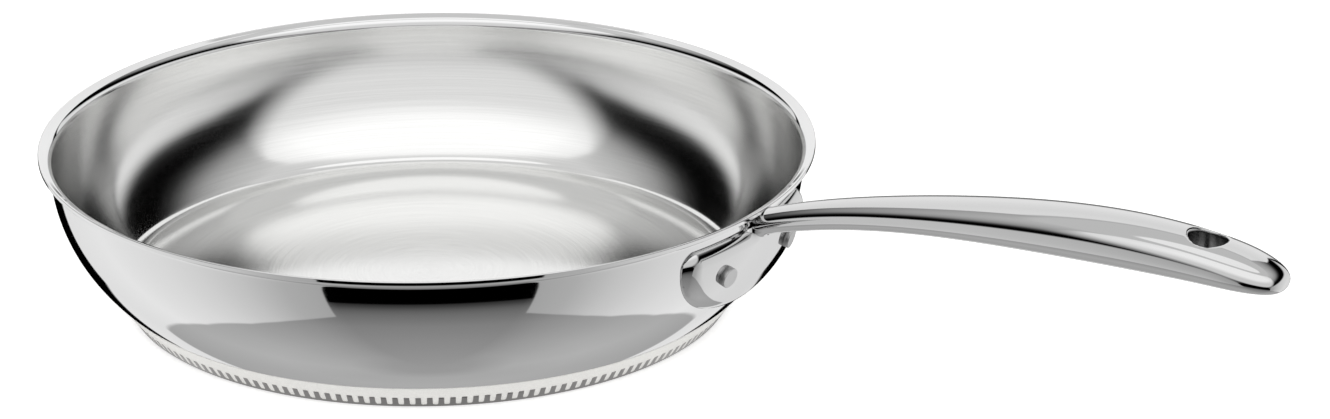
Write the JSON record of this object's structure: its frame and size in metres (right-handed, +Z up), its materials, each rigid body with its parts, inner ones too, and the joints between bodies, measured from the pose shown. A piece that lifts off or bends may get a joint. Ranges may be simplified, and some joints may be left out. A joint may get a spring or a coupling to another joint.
{
  "type": "frying pan",
  "caption": "Round stainless steel frying pan with a flared pouring rim, a bonded base with a toothed steel edge, and a riveted cast handle with a hang hole.",
  "frame": {"origin": "middle of the base's flat underside, on the pan's axis", "axes": "+X along the handle away from the pan, +Z up out of the pan's mouth, +Y across the handle"},
  "size_m": [0.4807, 0.284, 0.0838],
  "materials": {
    "pan_steel": "mirror polished outside, brushed in rings inside",
    "base_aluminium": "satin turned",
    "base_steel": "satin",
    "handle_steel": "mirror polished",
    "rivet_steel": "satin"
  },
  "bodies": {
    "root": {"pan_body": "pan_steel", "base_core": "base_aluminium", "base_plate": "base_steel", "handle": "handle_steel", "rivet_front": "rivet_steel", "rivet_rear": "rivet_steel"}
  },
  "joints": []
}
